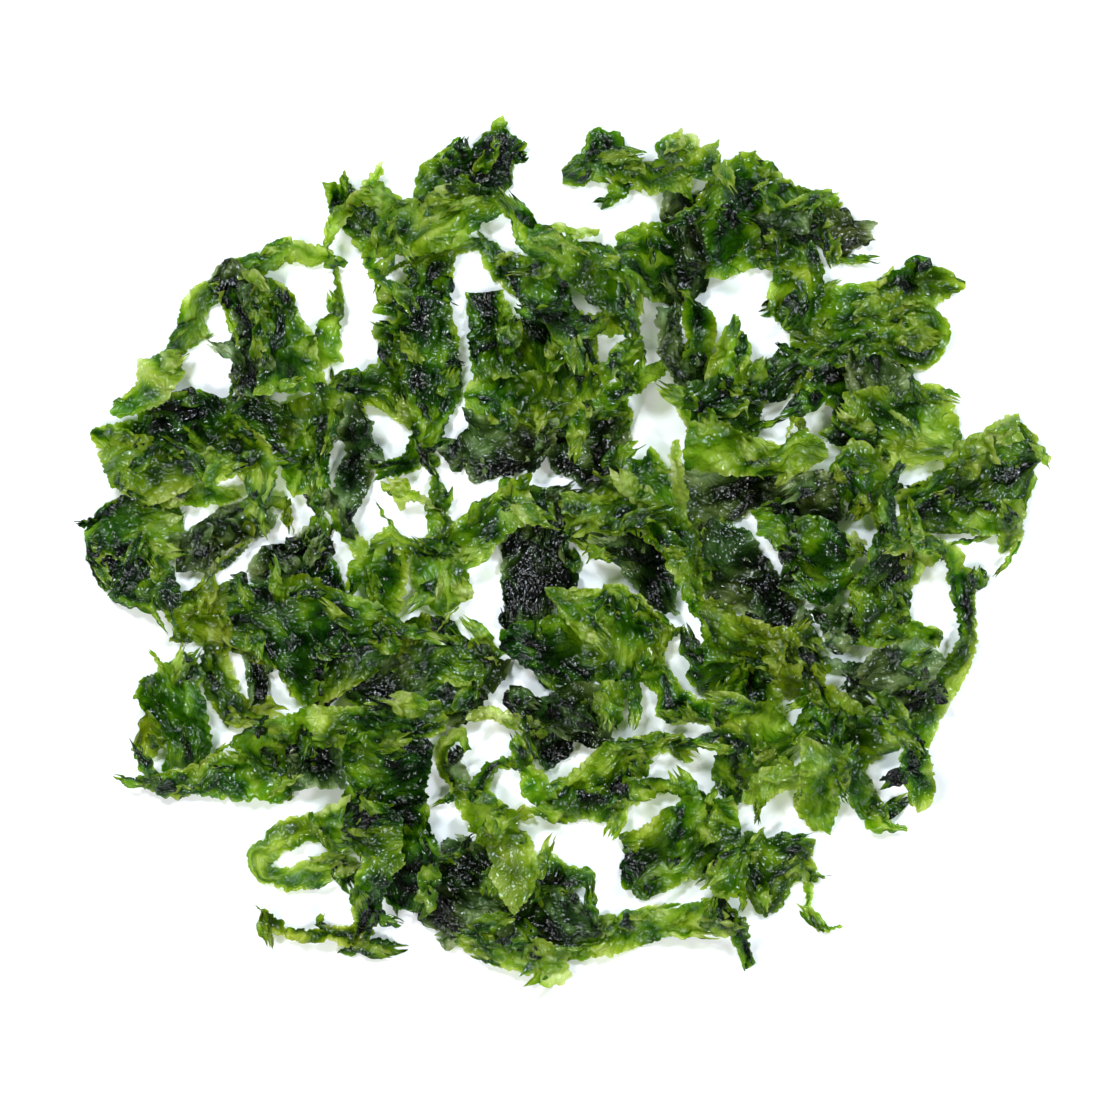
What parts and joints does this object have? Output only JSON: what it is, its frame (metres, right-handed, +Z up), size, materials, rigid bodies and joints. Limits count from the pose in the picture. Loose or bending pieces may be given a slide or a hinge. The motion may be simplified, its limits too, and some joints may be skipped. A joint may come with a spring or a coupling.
{
  "type": "sea lettuce portion",
  "caption": "Portion of soaked sea lettuce: torn, crumpled green fronds spread as one loose round mat that lies on a surface.",
  "frame": {"origin": "on the surface that the mat lies on, under the middle of its bounding box", "axes": "+Z up, away from the surface; +X along the mat's longest extent, to the picture's right; +Y to the picture's top"},
  "size_m": [0.1864, 0.17, 0.0195],
  "materials": {
    "bright": "wet, glossy and translucent, bright green",
    "green": "wet and glossy, mid green",
    "deep": "wet and glossy, deep green, several layers thick",
    "dark": "wet and glossy, green-black, tightly folded",
    "olive": "wet and translucent, olive-brown"
  },
  "bodies": {
    "root": {"west_underleaf": "olive", "west_mass": "deep", "north_curtain": "deep", "west_fan": "bright", "west_shoulder": "green", "northwest_column": "dark", "purple_strand": "dark", "west_strap": "green", "sleeve": "deep", "north_blade": "bright", "column": "dark", "pouch_right_flap": "dark", "pouch_lip": "dark", "pouch_back": "deep", "pouch_collar": "deep", "north_long_strand": "green", "northeast_wad": "dark", "northeast_blade": "green", "northeast_wing": "green", "northeast_horn_blade": "green", "middle_v_leaf": "dark", "middle_spiky_leaf": "green", "east_brown_leaf": "deep", "east_plume": "bright", "east_band": "dark", "pale_fold": "bright", "centre_dark_leaf": "dark", "east_knobs": "deep", "feather_leaf": "green", "centre_ridge": "dark", "southeast_sheet": "olive", "east_column": "deep", "east_blade": "green", "east_long_arc": "green", "dark_disc": "dark", "centre_left_ribbon": "green", "centre_pipe": "dark", "webbed_blade": "deep", "centre_froth": "deep", "centre_arch": "green", "centre_low_leaf": "dark", "centre_wing": "bright", "south_fold": "green", "south_bumpy_leaf": "bright", "southeast_froth": "green", "southeast_drape": "bright", "southeast_finger": "deep", "south_pointed_blade": "green", "south_broad_blade": "green", "south_long_strand": "bright", "south_shiny_blade": "dark", "south_brown_leaf": "dark", "south_ribbon": "bright", "southwest_blob": "green", "southwest_tube": "green", "southwest_long_fold": "green", "southwest_drape": "deep", "south_ring_leaf": "bright", "south_leg": "deep"}
  },
  "joints": []
}
